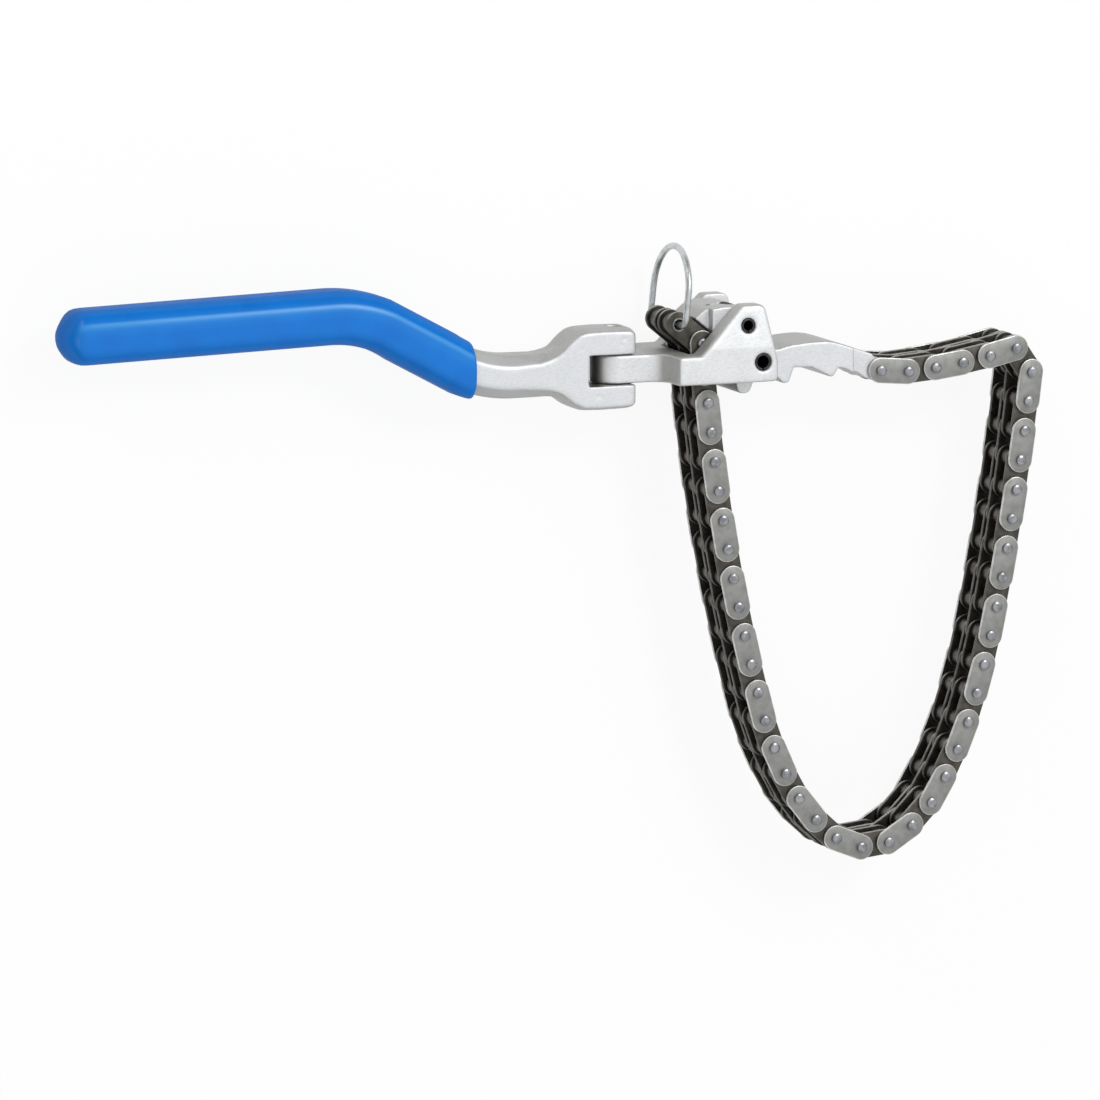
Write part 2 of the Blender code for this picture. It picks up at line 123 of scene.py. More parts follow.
class Finish(Wiring):
    def __init__(self, name, **fixed):
        self.material = bpy.data.materials.new(name)
        super().__init__(self.material)
        self.shader = self.tree.nodes["Principled BSDF"]
        self.where = self.node("ShaderNodeTexCoord", output="Object")
        for socket, value in fixed.items():
            self.set(socket, value)

    def set(self, socket, value):
        self.feed(self.shader.inputs[socket.replace("_", " ")], value)

    def speckle(self, grain, detail=2.0, roughness=0.55, stretch=1.0):
        # noise whose lumps are about grain mm across, drawn out along the tool by stretch
        place = self.where
        if stretch != 1.0:
            place = self.node("ShaderNodeVectorMath", {"operation": "MULTIPLY"}, {
                0: self.where, 1: (1 / stretch, 1.0, 1.0)})
        return self.node("ShaderNodeTexNoise", None, {
            "Vector": place, "Scale": 1 / (grain * mm), "Detail": detail, "Roughness": roughness})

    def turned(self, axis):
        # how far the surface faces along X, Y or Z
        normal = self.node("ShaderNodeTexCoord", output="Normal")
        return self.node("ShaderNodeSeparateXYZ", None, {0: normal}, output=axis)

    def facing(self):
        # 1 on faces square to the pins, 0 on faces along them
        along = self.turned("Z")
        return self.ramp(along * along, *facingSpan)

    def bumped(self, height, depth):
        # depth is in mm
        return self.node("ShaderNodeBump", None, {"Strength": 1.0, "Distance": depth * mm, "Height": height})


def rgb(red, green, blue):
    # a colour as it is read off a screen, made linear
    def linear(value):
        part = value / 255
        return part / 12.92 if part <= 0.04045 else ((part + 0.055) / 1.055) ** 2.4
    return (linear(red), linear(green), linear(blue), 1.0)


# finishes, with the sizes of their grain and the depth of their bumps in mm

# side is painted shade: faces along the pins get a darker silver than the faces square to them
forgedLook = dict(face=(232, 234, 236), side=(190, 189, 185), dull=(204, 206, 207), metal=0.6, rough=0.4,
                  grain=0.5, grainDetail=3.0, grainContrast=0.6, stretch=2.2, peel=1.3, lumps=6.0,
                  wear=0.5, wearSpan=(0.42, 0.7), stain=0.16, stainSpan=(0.4, 0.7),
                  grainRough=0.14, lumpRough=0.04, grainRise=0.6, lumpRise=0.5, depth=0.03)
dullerLook = dict(forgedLook, face=(226, 228, 231), side=(182, 181, 178))
# painted shade in the fork's slot, around the tongue's end
slotShade = dict(tone=(74, 73, 70), amount=0.85,
                 back=-11.2, backSoft=0.3, deep=-7.1, front=-5.2, halfHeight=4.7,  # mm from the swivel pin
                 fade=6.0)  # added to the half height's square


def slotMask(made):
    # 1 deep in the fork's slot, 0 outside it: painted shade where the tongue's end sits in the slot's shadow
    shade = slotShade
    place = made.node("ShaderNodeVectorMath", {"operation": "SUBTRACT"}, {0: made.where, 1: swivelAt})
    along = made.node("ShaderNodeSeparateXYZ", None, {0: place}, output="X") * (1 / mm)
    across = made.node("ShaderNodeSeparateXYZ", None, {0: place}, output="Y") * (1 / mm)
    depth = made.ramp(0 - along, -shade["front"], -shade["deep"])
    depth = depth * made.ramp(along, shade["back"], shade["back"] + shade["backSoft"])
    height = shade["halfHeight"] ** 2
    return depth * (1 - made.ramp(across * across, height, height + shade["fade"]))


def forgedSteel(name, look):
    # a satin silver coat over forged steel, duller where it is worn, with painted shade on the faces along
    # the pins
    made = Finish(name, Metallic=look["metal"])
    grain = made.speckle(look["grain"], look["grainDetail"], look["grainContrast"], look["stretch"])
    peel = made.speckle(look["peel"])
    lumps = made.speckle(look["lumps"])
    # painted shade: faces along the pins take the darker side colour
    coat = made.mixed(made.facing(), rgb(*look["side"]), rgb(*look["face"]))
    wear = look["wear"] * made.ramp(grain, *look["wearSpan"])
    stain = look["stain"] * made.ramp(lumps, *look["stainSpan"])
    worn = made.mixed(wear + stain, coat, rgb(*look["dull"]))
    # painted shade deep in the fork's slot
    slot = slotShade["amount"] * slotMask(made)
    made.set("Base_Color", made.mixed(slot, worn, rgb(*slotShade["tone"])))
    made.set("Roughness", look["rough"] + look["grainRough"] * grain + look["lumpRough"] * lumps)
    relief = look["grainRise"] * grain + peel + look["lumpRise"] * lumps
    made.set("Normal", made.bumped(relief, look["depth"]))
    return made.material


# the paler colour here is a painted highlight along the grip's upper corners
vinylLook = dict(colour=(0, 120, 215), deep=(0, 114, 209), paintedHighlight=(58, 152, 224), rough=0.5, specular=0.02,
                 coat=0.14, gloss=0.27, coatIndex=2.4, ripple=9.0, rippleSpan=(0.3, 0.7),
                 skin=0.7, skinRough=0.07, skinRise=0.04, depth=0.04,
                 highlightAmount=0.8, highlightStart=(0.0, 0.36), highlightEnd=(0.38, 0.5))


def blueVinyl():
    # the gloss is a thin coat, so that edges seen aslant don't turn white
    look = vinylLook
    made = Finish("blueVinyl", Specular_IOR_Level=look["specular"], Coat_Weight=look["coat"],
                  Coat_Roughness=look["gloss"], Coat_IOR=look["coatIndex"])
    ripple = made.speckle(look["ripple"])
    skin = made.speckle(look["skin"])
    tone = made.mixed(made.ramp(ripple, *look["rippleSpan"]), rgb(*look["colour"]), rgb(*look["deep"]))
    rise = made.turned("Y")
    corner = made.ramp(rise, *look["highlightStart"]) * (1 - made.ramp(rise, *look["highlightEnd"]))
    highlightAmount = look["highlightAmount"] * corner * made.facing()  # a painted highlight, paler along the upper corners
    made.set("Base_Color", made.mixed(highlightAmount, tone, rgb(*look["paintedHighlight"])))
    made.set("Roughness", look["rough"] + look["skinRough"] * skin)
    made.set("Normal", made.bumped(ripple + look["skinRise"] * skin, look["depth"]))
    return made.material


plateFinish = dict(smear=2.6, smearDetail=3.0, smearSpan=(0.32, 0.72), smearRough=0.12,
                   grain=0.35, grainRough=0.08, depth=0.012, paintedLitSpan=(0.3, 0.95))
outerLook = dict(clean=(160, 160, 158), dull=(147, 147, 144), rough=0.42)
innerLook = dict(clean=(100, 97, 91), dull=(82, 79, 74), rough=0.46)
# painted shade for plate faces turned into the chain, between its parts
paintedShadeLook = dict(clean=(60, 58, 55), dull=(40, 38, 36), rough=0.4)
# outer plate rims and tail bushes: rubbed bright, and lighter still as a painted highlight
edgeLook = dict(clean=(214, 215, 214), dull=(184, 184, 181), rough=0.34)
# the lighter colour for rims that face up is painted light from above
rimLook = dict(clean=(110, 108, 103), dull=(84, 82, 78), paintedLitTop=(168, 167, 162), rough=0.38)


def plateSteel(name, look):
    finish = plateFinish
    made = Finish(name, Metallic=1.0)
    smear = made.speckle(finish["smear"], finish["smearDetail"])
    grain = made.speckle(finish["grain"])
    tone = made.mixed(made.ramp(smear, *finish["smearSpan"]), rgb(*look["clean"]), rgb(*look["dull"]))
    if "paintedLitTop" in look:  # painted light: rims that face up are made lighter, as if lit from above
        tone = made.mixed(made.ramp(made.turned("Y"), *finish["paintedLitSpan"]), tone, rgb(*look["paintedLitTop"]))
    made.set("Base_Color", tone)
    made.set("Roughness", look["rough"] + finish["smearRough"] * smear + finish["grainRough"] * grain)
    made.set("Normal", made.bumped(grain + smear, finish["depth"]))
    return made.material


roundFinish = dict(smearTimes=3, smearSpan=(0.3, 0.72), fineRough=0.12, depth=0.012)
pinLook = dict(clean=(172, 174, 177), dull=(130, 133, 138), rough=0.26, grain=0.6)
rollerLook = dict(clean=(112, 108, 104), dull=(78, 75, 72), rough=0.36, grain=0.6)
blackLook = dict(clean=(78, 78, 80), dull=(50, 50, 52), rough=0.32, grain=0.6)
wireLook = dict(clean=(210, 214, 215), dull=(184, 188, 189), rough=0.3, grain=0.9)
springLook = dict(clean=(86, 86, 88), dull=(58, 58, 60), rough=0.32, grain=0.6)


def roundSteel(name, look):
    finish = roundFinish
    made = Finish(name, Metallic=1.0)
    smear = made.speckle(finish["smearTimes"] * look["grain"])
    fine = made.speckle(look["grain"])
    tone = made.mixed(made.ramp(smear, *finish["smearSpan"]), rgb(*look["clean"]), rgb(*look["dull"]))
    made.set("Base_Color", tone)
    made.set("Roughness", look["rough"] + finish["fineRough"] * fine)
    made.set("Normal", made.bumped(fine + smear, finish["depth"]))
    return made.material


silver = forgedSteel("forgedSteel", forgedLook)
dullerSilver = forgedSteel("dullerForgedSteel", dullerLook)
vinyl = blueVinyl()
outerSteel = plateSteel("outerPlateSteel", outerLook)
innerSteel = plateSteel("innerPlateSteel", innerLook)
paintedShadeSteel = plateSteel("paintedShadePlateSteel", paintedShadeLook)
edgeSteel = plateSteel("plateEdgeSteel", edgeLook)
rimSteel = plateSteel("innerRimSteel", rimLook)
pinSteel = roundSteel("pinSteel", pinLook)
rollerSteel = roundSteel("rollerSteel", rollerLook)
blackSteel = roundSteel("blackSteel", blackLook)
zincWire = roundSteel("zincWire", wireLook)
springSteel = roundSteel("springSteel", springLook)
print("finishes made")


# outlines, in mm, with degrees between their points

arcStep = 7.0
cornerStep = 9.0
circleStep = 7.5


def arcPoints(centre, radius, start, end, step=arcStep):
    count = max(2, math.ceil(abs(end - start) / step))
    turns = [math.radians(start + (end - start) * index / count) for index in range(count + 1)]
    return [(centre[0] + radius * math.cos(turn), centre[1] + radius * math.sin(turn)) for turn in turns]


def circlePoints(centre, radius):
    return arcPoints(centre, radius, 0, 360 - circleStep, circleStep)


def roundCorners(corners, steps=None):
    # corners are (x, y) or (x, y, radius)
    outline = []
    for index, corner in enumerate(corners):
        here = Vector(corner[:2])
        if len(corner) == 2:
            outline.append(tuple(here))
            continue
        back = (Vector(corners[index - 1][:2]) - here).normalized()
        ahead = (Vector(corners[(index + 1) % len(corners)][:2]) - here).normalized()
        half = back.angle(ahead) / 2
        centre = here + (back + ahead).normalized() * corner[2] / math.sin(half)
        first = here + back * corner[2] / math.tan(half) - centre
        sweep = first.angle_signed(here + ahead * corner[2] / math.tan(half) - centre)
        count = steps or max(2, math.ceil(math.degrees(abs(sweep)) / cornerStep))
        for step in range(count + 1):
            outline.append(tuple(centre + Matrix.Rotation(-sweep * step / count, 2) @ first))
    return outline


# solids, in mm

past = 120.0  # tools that cut reach this far, past every piece
weld = 1e-4  # points closer than this are one


def asObject(name, work):
    bmesh.ops.recalc_face_normals(work, faces=work.faces)
    mesh = bpy.data.meshes.new(name)
    work.to_mesh(mesh)
    work.free()
    made = bpy.data.objects.new(name, mesh)
    bpy.context.scene.collection.objects.link(made)
    return made


def raised(work, face, rise):
    grown = bmesh.ops.extrude_face_region(work, geom=[face])
    moved = [part for part in grown["geom"] if isinstance(part, bmesh.types.BMVert)]
    bmesh.ops.translate(work, verts=moved, vec=rise)
    return moved


def prism(outline, low, high):
    work = bmesh.new()
    face = work.faces.new([work.verts.new((x, y, low)) for x, y in outline])
    raised(work, face, (0, 0, high - low))
    return asObject("prism", work)


def upright(outline):
    # an outline in x and z, raised in y past every piece
    work = bmesh.new()
    face = work.faces.new([work.verts.new((x, -past, z)) for x, z in outline])
    raised(work, face, (0, 2 * past, 0))
    return asObject("upright", work)


def block(low, high):
    corners = [(low[0], low[1]), (high[0], low[1]), (high[0], high[1]), (low[0], high[1])]
    return prism(corners, low[2], high[2])


def post(at, radius, half=past):
    return prism(circlePoints(at, radius), -half, half)


def loft(rings):
    work = bmesh.new()
    loops = []
    for ring in rings:
        verts = [work.verts.new(point) for point in ring]
        loops.append([work.edges.new((a, b)) for a, b in zip(verts, verts[1:] + verts[:1])])
    for first, second in zip(loops, loops[1:]):
        bmesh.ops.bridge_loops(work, edges=first + second)
    bmesh.ops.holes_fill(work, edges=loops[0] + loops[-1], sides=0)
    return asObject("loft", work)


def settle(piece):
    bpy.context.view_layer.update()
    graph = bpy.context.evaluated_depsgraph_get()
    mesh = bpy.data.meshes.new_from_object(piece.evaluated_get(graph))
    piece.modifiers.clear()
    piece.data = mesh


def carve(piece, tools, operation="DIFFERENCE"):
    for tool in tools:
        step = piece.modifiers.new("carve", "BOOLEAN")
        step.operation = operation
        step.object = tool
    settle(piece)
    for tool in tools:
        bpy.data.objects.remove(tool)


def softenRims(piece, offset, segments, wanted=lambda middle: True):
    # bevels the edges round the flat ends of a prism, where wanted says so of an edge's middle
    work = bmesh.new()
    work.from_mesh(piece.data)
    rims = []
    for edge in work.edges:
        first, second = (vert.co for vert in edge.verts)
        if first.z == second.z and wanted((first + second) / 2):
            rims.append(edge)
    bmesh.ops.bevel(work, geom=rims, offset=offset, segments=segments, profile=0.5, affect="EDGES",
                    material=-1)
    work.to_mesh(piece.data)
    work.free()


def forge(piece, skin, rounds):
    # an even skin of small faces, smoothed so that every edge comes out soft
    remesh = piece.modifiers.new("skin", "REMESH")
    remesh.mode = "VOXEL"
    remesh.voxel_size = skin
    soft = piece.modifiers.new("soft", "SMOOTH")
    soft.factor = 0.5
    soft.iterations = rounds
    settle(piece)


def dent(piece, spots, reach=2.5):
    # spots are (x, y, z, radius, depth), pressed in along the surface normal out to reach times the radius
    for x, y, z, radius, depth in spots:
        centre = Vector((x, y, z))
        for vert in piece.data.vertices:
            near = (vert.co - centre).length / radius
            if near < reach:
                vert.co -= vert.normal * depth * math.exp(-near * near)


def dress(piece, name, body, slot, nodes, *finishes):
    piece.name = name
    piece.data.name = name
    piece.data.transform(toRow)
    if piece.data.materials:  # a clear would also lose which finish each face has
        piece.data.materials.clear()
    for finish in finishes:
        piece.data.materials.append(finish)
    piece.data.shade_smooth()
    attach(piece, body)
    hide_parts(*nodes)


# handle and grip

barSizes = dict(halfHeight=6.9, halfDepth=7.5, chamfer=3.6, soft=1.6, cornerSteps=6, slope=0.031,
                straight=(-179.0, -150.0, -120.0), crankTop=(-84.9, 20.63), crankFoot=(-45.2, -0.95),
                crankRadius=40.0, bendSteps=14)


def barMiddle():
    # (x, y, slope) along the middle of the bar, from its end to the fork
    size = barSizes
    top, foot = size["crankTop"], size["crankFoot"]
    down = math.atan((foot[1] - top[1]) / (foot[0] - top[0]))
    lean = math.atan(size["slope"])
    stations = []
    for corner, before, after in ((top, lean, down), (foot, down, 0.0)):
        side = math.copysign(1.0, after - before)
        reach = size["crankRadius"] * math.tan(abs(after - before) / 2)
        start = Vector(corner) - reach * Vector((math.cos(before), math.sin(before)))
        centre = start + side * size["crankRadius"] * Vector((-math.sin(before), math.cos(before)))
        for step in range(size["bendSteps"] + 1):
            turn = before + (after - before) * step / size["bendSteps"]
            x, y = centre - side * size["crankRadius"] * Vector((-math.sin(turn), math.cos(turn)))
            stations.append((x, y, turn))
    first = stations[0]
    ends = [(x, first[1] + (x - first[0]) * size["slope"], lean) for x in size["straight"]]
    return ends + stations


def middleAt(x):
    stations = barMiddle()
    for before, after in zip(stations, stations[1:]):
        if x <= after[0]:
            part = (x - before[0]) / (after[0] - before[0])
            return before[1] + part * (after[1] - before[1]), before[2] + part * (after[2] - before[2])
    return stations[-1][1], 0.0


def barRing(x, y, halfHeight, halfDepth, drop, inset, soft, crown=None):
    # crown is (rise, radius) of the swell in the faces square to the pins
    flatY, flatZ = halfHeight - drop, halfDepth - inset
    half = [(flatY, halfDepth, soft), (halfHeight, flatZ, soft), (halfHeight, -flatZ, soft),
            (flatY, -halfDepth, soft)]
    if crown:
        half.append((0.0, -halfDepth - crown[0], crown[1]))
    corners = half + [(-a, -b, radius) for a, b, radius in half]
    return [(x, y + a, b) for a, b in roundCorners(corners, barSizes["cornerSteps"])]


def barRingAt(x):
    size = barSizes
    y, slope = middleAt(x)
    lift = 1 / math.cos(slope)
    return barRing(x, y, size["halfHeight"] * lift, size["halfDepth"], size["chamfer"] * lift,
                   size["chamfer"], size["soft"])


def alongCurve(stops, x):
    # smooth values between rows of stops, each (x, value, value, ...)
    for index in range(len(stops) - 1):
        if x <= stops[index + 1][0]:
            break
    before, after = stops[index], stops[index + 1]
    earlier, later = stops[max(index - 1, 0)], stops[min(index + 2, len(stops) - 1)]
    span = after[0] - before[0]
    part = (x - before[0]) / span
    values = []
    for column in range(1, len(before)):
        rateIn = (after[column] - earlier[column]) / (after[0] - earlier[0]) * span
        rateOut = (later[column] - before[column]) / (later[0] - before[0]) * span
        a, b = before[column], after[column]
        values.append((2 * part**3 - 3 * part**2 + 1) * a + (part**3 - 2 * part**2 + part) * rateIn
                      + (3 * part**2 - 2 * part**3) * b + (part**3 - part**2) * rateOut)
    return values


# each row of flare is x, half height, half depth, and the chamfer's drop and inset
forkSizes = dict(flare=((-31.0, 6.9, 7.5, 3.6, 3.6), (-25.0, 6.9, 7.5, 2.6, 3.6), (-20.4, 8.0, 7.6, 1.8, 4.0),
                        (-16.5, 11.0, 7.9, 1.4, 4.3), (-12.5, 12.8, 8.0, 0.9, 4.0),
                        (2.4, 12.9, 8.0, 0.9, 4.0), (4.1, 12.5, 7.8, 0.9, 3.8), (4.9, 11.7, 7.3, 0.9, 3.4)),
                 stations=(-27.0, -25.0, -23.0, -21.5, -20.0, -18.5, -17.0, -15.5, -14.0, -12.5, -11.0, -6.0,
                           0.0, 2.4, 3.4, 4.1, 4.6, 4.9),
                 soft=1.2, rise=0.22, levelFrom=-14.0, levelOver=13.0,
                 slotStart=-11.0, slotHalfHeight=4.8, bore=2.8, skin=0.42, rounds=9,
                 dents=((0.7, 9.7, 8.0, 0.6, 0.2), (-0.2, 7.8, 8.0, 0.5, 0.16), (-8.0, -8.0, 8.0, 0.6, 0.16),
                        (-6.9, -8.4, 8.0, 0.5, 0.1), (-13.5, 7.2, 8.0, 0.6, 0.09),
                        (1.9, -8.8, -8.0, 0.7, 0.12)))


def makeHandle():
    size = forkSizes
    rings = [barRingAt(x) for x, _, _ in barMiddle()]
    foot = barSizes["crankFoot"][1]
    for x in size["stations"]:
        halfHeight, halfDepth, drop, inset = alongCurve(size["flare"], x)
        below = min(1.0, max(0.0, (size["levelFrom"] - x) / size["levelOver"]))
        rise = size["rise"] + (foot - size["rise"]) * below
        rings.append(barRing(x, rise, halfHeight, halfDepth, drop, inset, size["soft"]))
    bar = loft(rings)
    half = size["slotHalfHeight"]
    slot = block((size["slotStart"], -half, -past), (past, half, past))
    carve(bar, [slot, upright(circlePoints((0, 0), size["bore"]))])
    forge(bar, size["skin"], size["rounds"])
    dent(bar, size["dents"])
    dress(bar, "handleForging", "handle", "forged_steel", ["handle"], dullerSilver)


# cap is (x from the tip, taper), mouthRounding is (back from the mouth, off the wall)
gripSizes = dict(wall=1.6, soft=6.0, crown=0.45, crownRadius=22.0, tip=-182.8, mouth=-49.0,
                 roundFast=2.5, roundChamfer=5.1, roundSoft=7.2, roundCrownRadius=4.0, lip=0.15, lipDepth=4.0,
                 cap=((0.0, 0.06), (0.05, 0.16), (0.2, 0.27), (0.55, 0.39), (1.1, 0.5), (1.9, 0.63),
                      (2.8, 0.75), (3.9, 0.86), (5.1, 0.94), (6.5, 0.985), (8.5, 1.0)),
                 mouthRounding=((1.6, 0.0), (0.7, 0.06), (0.2, 0.25), (0.0, 0.55)))


def gripRing(x, wall, taper=1.0):
    # the bar's section grown by the wall, rounder the more it tapers
    bar, size = barSizes, gripSizes
    y, slope = middleAt(x)
    lift = 1 / math.cos(slope)
    rounder = min(1.0, size["roundFast"] * (1 - taper))

    def blend(plain, full):
        return (plain + (full - plain) * rounder) * taper
    chamfer = blend(bar["chamfer"], size["roundChamfer"])
    crown = (size["crown"] * taper, blend(size["crownRadius"], size["roundCrownRadius"]))
    return barRing(x, y, (bar["halfHeight"] + wall) * taper * lift, (bar["halfDepth"] + wall) * taper,
                   chamfer * lift, chamfer, blend(size["soft"], size["roundSoft"]), crown)


def makeGrip():
    size = gripSizes
    rings = [gripRing(size["tip"] + x, size["wall"], taper) for x, taper in size["cap"]]
    capEnd = size["tip"] + size["cap"][-1][0]
    mouthStart = size["mouth"] - size["mouthRounding"][0][0]
    rings += [gripRing(x, size["wall"]) for x, _, _ in barMiddle() if capEnd < x < mouthStart]
    rings += [gripRing(size["mouth"] - back, size["wall"] - shrink) for back, shrink in size["mouthRounding"]]
    rings += [gripRing(size["mouth"] - back, size["lip"]) for back in (0.0, size["lipDepth"])]
    dress(loft(rings), "gripSleeve", "handle", "blue_vinyl", ["grip"], vinyl)


makeHandle()
makeGrip()
print("handle and grip made")


# head, with its cheeks, slot and pins

headSizes = dict(tongue=7.4, halfHeight=4.5, halfDepth=20.0, slotHalf=12.5, slotBack=21.3, spare=2,
                 side=((48.2, -4.5, 1.6), (48.2, 1.6, 8.0), (44.1, 20.0, 2.6), (36.4, 20.0, 1.4),
                       (22.0, 4.6, 1.4)),
                 flareStart=8.6, flareRadius=5.6, flareEnd=-8,  # flareEnd in degrees
                 shoulder=14.9, shoulderBack=0.6, shoulderIn=1.4,
                 edge=1.1, edgeSteps=4, crease=6.6, lean=0.125, skin=0.42, rounds=11)
pawlAxis = (38.2, 13.5)
jawAxis = (43.0, 1.9)
pinSizes = dict(pawl=2.25, jaw=2.65, swivel=2.5, wall=0.7, slit=11.0, pawlLength=37.6, jawLength=38.8,
                swivelLength=24.8, play=0.12, edge=0.2, edgeSteps=2, sharp=40)  # slit and sharp in degrees


def leanCheeks(body):
    # above the crease the outer faces of the cheeks lean in, and the inner ones stay upright
    size = headSizes
    inside = size["slotHalf"]
    thickness = size["halfDepth"] - inside
    for vert in body.data.vertices:
        over = vert.co.y - size["crease"]
        if over > 0 and abs(vert.co.z) > inside:
            shrink = 1 - size["lean"] * over / thickness
            vert.co.z = math.copysign(inside + (abs(vert.co.z) - inside) * shrink, vert.co.z)


def makeHead():
    size, pin = headSizes, pinSizes
    back = -size["tongue"] - size["spare"]
    side = roundCorners([(back, -size["halfHeight"]), *size["side"], (back, size["halfHeight"])])
    body = prism(side, -size["halfDepth"], size["halfDepth"])

    def onCheek(middle):
        return middle.x > size["slotBack"] and middle.y > -size["halfHeight"]
    softenRims(body, size["edge"], size["edgeSteps"], onCheek)
    start, radius, depth = size["flareStart"], size["flareRadius"], size["halfDepth"]
    half = [(start, size["tongue"])]
    half += arcPoints((start, size["tongue"] + radius), radius, -90, size["flareEnd"])
    half += [(size["shoulder"] - size["shoulderBack"], depth - size["shoulderIn"]), (size["shoulder"], depth),
             (past, depth)]
    plan = arcPoints((0, 0), size["tongue"], 270, 90) + half + [(x, -z) for x, z in reversed(half)]
    carve(body, [upright(plan)], "INTERSECT")
    tools = [block((size["slotBack"], -past, -size["slotHalf"]), (past, past, size["slotHalf"]))]
    tools.append(post(pawlAxis, pin["pawl"] + pin["play"]))
    tools.append(post(jawAxis, pin["jaw"] + pin["play"]))
    tools.append(upright(circlePoints((0, 0), pin["swivel"] + pin["play"])))
    carve(body, tools)
    forge(body, size["skin"], size["rounds"])
    leanCheeks(body)
    dress(body, "headForging", "head", "forged_steel", ["head"], silver)


def rolledPin(at, radius, length):
    size = pinSizes
    slit = size["slit"] / 2
    outside = arcPoints(at, radius, -90 + slit, 270 - slit)
    inside = arcPoints(at, radius - size["wall"], 270 - slit, -90 + slit)
    pin = prism(outside + inside, -length / 2, length / 2)
    softenRims(pin, size["edge"], size["edgeSteps"])
    return pin


def makePins():
    size = pinSizes
    pins = (("pawlRollPin", "head", "pawl_pin", pawlAxis, size["pawl"], size["pawlLength"]),
            ("jawRollPin", "head", "jaw_pin", jawAxis, size["jaw"], size["jawLength"]),
            ("swivelRollPin", "handle", "swivel_pin", (0, 0), size["swivel"], size["swivelLength"]))
    for name, body, node, at, radius, length in pins:
        pin = rolledPin(at, radius, length)
        if node == "swivel_pin":
            pin.data.transform(Matrix.Rotation(-math.pi / 2, 4, "X"))
        dress(pin, name, body, "black_steel", [node], blackSteel)
        pin.data.set_sharp_from_angle(angle=math.radians(size["sharp"]))


makeHead()
makePins()
print("head and roll pins made")


# jaw, pawl and spring

jawSizes = dict(hub=5.5, hubArc=(200, 70), halfDepth=12.1, noseHalf=9.2, step=77.3,
                endAt=(87.2, -4.1), endRadius=3.7, endArc=(108, -100),
                top=((49.5, 4.1, 6.0), (55.0, 5.7, 14.0), (68.6, 6.8, 23.0), (84.8, 1.2)),
                teeth=((82.6, -6.6, 2.0), (79.2, -4.3), (76.9, -4.3, 0.8), (74.6, -2.9, 2.0),
                       (71.9, -2.3, 0.4), (70.4, -5.0, 0.7), (69.0, -5.0, 0.6), (62.6, -1.7, 2.0),
                       (56.7, -1.5, 0.5), (55.0, -6.2, 0.9), (53.0, -6.4, 0.9), (50.5, -4.0, 2.0),
                       (43.5, -3.8, 0.8), (41.5, -8.9, 2.2), (37.7, -8.9, 1.9), (36.5, -3.6, 0.6)),
                slitHalf=1.26, slitStart=82.4, pinHole=1.94, skin=0.38, rounds=6)


def shoulders(start, end, noseHalf):
    # tools that narrow a piece to noseHalf on both sides, from start to end
    return [block((start, -past, noseHalf), (end, past, past)),
            block((start, -past, -past), (end, past, -noseHalf))]


def makeJaw():
    size = jawSizes
    hub = arcPoints(jawAxis, size["hub"], *size["hubArc"])
    end = arcPoints(size["endAt"], size["endRadius"], *size["endArc"])
    side = roundCorners([*hub, *size["top"], *end, *size["teeth"]])
    body = prism(side, -size["halfDepth"], size["halfDepth"])
    tools = shoulders(size["step"], past, size["noseHalf"])
    tools.append(block((size["slitStart"], -past, -size["slitHalf"]), (past, past, size["slitHalf"])))
    tools.append(post(jawAxis, pinSizes["jaw"] + pinSizes["play"]))
    tools.append(post(size["endAt"], size["pinHole"]))
    carve(body, tools)
    forge(body, size["skin"], size["rounds"])
    dress(body, "jawForging", "jaw", "forged_steel", ["jaw"], dullerSilver)


pawlSizes = dict(hub=5.1, hubArc=(-80, 95), halfDepth=12.1, noseHalf=9.2, step=28.8,
                 lever=((33.0, 18.9, 12.0), (27.6, 18.2, 5.0), (24.1, 15.2, 0.4), (29.0, 11.2),
                        (31.0, 8.9, 1.0)),
                 roomHalf=4.0, roomRadius=5.7, grooveUnder=0.3, grooveWires=1.3, grooveEnd=0.6,
                 skin=0.34, rounds=5)
springSizes = dict(wire=0.55, radius=4.6, turns=3.25, rise=1.62, foot=9.2, legEnd=30.6, perTurn=28, sides=12)


def makePawl():
    size, spring = pawlSizes, springSizes
    hub = arcPoints(pawlAxis, size["hub"], *size["hubArc"])
    body = prism(roundCorners([*hub, *size["lever"]]), -size["halfDepth"], size["halfDepth"])
    tools = shoulders(-past, size["step"], size["noseHalf"])
    tools.append(post(pawlAxis, size["roomRadius"], size["roomHalf"]))
    # a groove for the spring's leg
    legZ = spring["turns"] * spring["rise"] / 2
    legLow = pawlAxis[1] + spring["radius"] - spring["wire"] - size["grooveUnder"]
    wide = size["grooveWires"] * spring["wire"]
    grooveStart = spring["legEnd"] - size["grooveEnd"]
    tools.append(block((grooveStart, legLow, legZ - wide), (pawlAxis[0], past, legZ + wide)))
    tools.append(post(pawlAxis, pinSizes["pawl"] + pinSizes["play"]))
    carve(body, tools)
    forge(body, size["skin"], size["rounds"])
    dress(body, "pawlForging", "pawl", "forged_steel", ["pawl"], silver)


def bentWire(points, radius, sides):
    # a round wire along points, both ends closed
    curve = bpy.data.curves.new("wire", "CURVE")
    curve.dimensions = "3D"
    curve.bevel_depth = radius
    curve.bevel_resolution = sides // 4 - 1
    curve.use_fill_caps = True
    line = curve.splines.new("POLY")
    line.points.add(len(points) - 1)
    for point, place in zip(line.points, points):
        point.co = (*place, 1.0)
    made = bpy.data.objects.new("wire", curve)
    bpy.context.scene.collection.objects.link(made)
    bpy.context.view_layer.update()
    graph = bpy.context.evaluated_depsgraph_get()
    solid = bpy.data.objects.new("bentWire", bpy.data.meshes.new_from_object(made.evaluated_get(graph)))
    bpy.context.scene.collection.objects.link(solid)
    bpy.data.objects.remove(made)
    work = bmesh.new()
    work.from_mesh(solid.data)
    bmesh.ops.remove_doubles(work, verts=work.verts, dist=weld)
    work.to_mesh(solid.data)
    work.free()
    return solid


